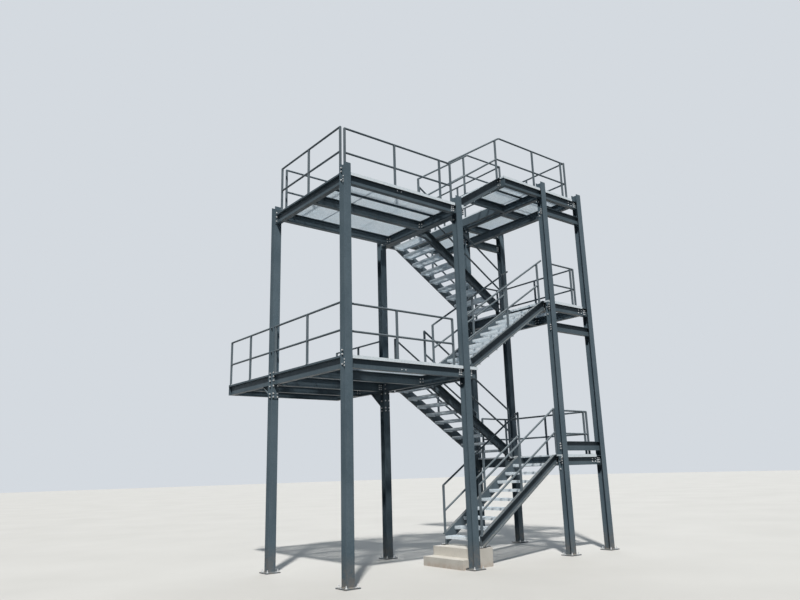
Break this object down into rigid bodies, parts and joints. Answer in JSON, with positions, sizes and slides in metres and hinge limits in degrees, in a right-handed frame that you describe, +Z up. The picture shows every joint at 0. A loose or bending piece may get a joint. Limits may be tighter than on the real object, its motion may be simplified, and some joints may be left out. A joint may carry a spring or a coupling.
{
  "type": "fire escape stair",
  "caption": "free-standing steel fire escape stair with grated landings, switchback flights, guard rails and H-section columns, one upper landing a half flight above the other",
  "frame": {"origin": "middle of the footprint of the base plates and the wall edge, on the floor", "axes": "X along the building from the low deck's bay to the end landings, Y towards the building, Z up"},
  "size_m": [7.39, 4.91, 9.4524],
  "materials": {
    "column_paint": "satin",
    "beam_paint": "satin",
    "stringer_paint": "satin",
    "rail_paint": "satin",
    "grating_zinc": "matte",
    "block_concrete": "matte"
  },
  "bodies": {
    "root": {"column_a": "column_paint", "column_b": "column_paint", "column_c": "column_paint", "column_d": "column_paint", "column_e": "column_paint", "column_f": "column_paint", "column_g": "column_paint", "column_h": "column_paint", "frame_1": "beam_paint", "frame_2": "beam_paint", "frame_3": "beam_paint", "frame_4": "beam_paint", "frame_5": "beam_paint", "grating_1": "grating_zinc", "grating_2": "grating_zinc", "grating_3": "grating_zinc", "grating_4": "grating_zinc", "grating_5": "grating_zinc", "tie_low": "beam_paint", "tie_mid": "beam_paint", "ties_top": "beam_paint", "stringers_1": "stringer_paint", "stringers_2": "stringer_paint", "stringers_3": "stringer_paint", "stringers_4": "stringer_paint", "stringers_5": "stringer_paint", "treads_1": "grating_zinc", "treads_2": "grating_zinc", "treads_3": "grating_zinc", "treads_4": "grating_zinc", "treads_5": "grating_zinc", "rails_deck_1": "rail_paint", "rails_deck_2": "rail_paint", "rails_deck_3": "rail_paint", "rails_deck_4": "rail_paint", "rails_deck_5": "rail_paint", "rails_flight_1": "rail_paint", "rails_flight_2": "rail_paint", "rails_flight_3": "rail_paint", "rails_flight_4": "rail_paint", "rails_flight_5": "rail_paint", "start_block": "block_concrete"}
  },
  "joints": []
}
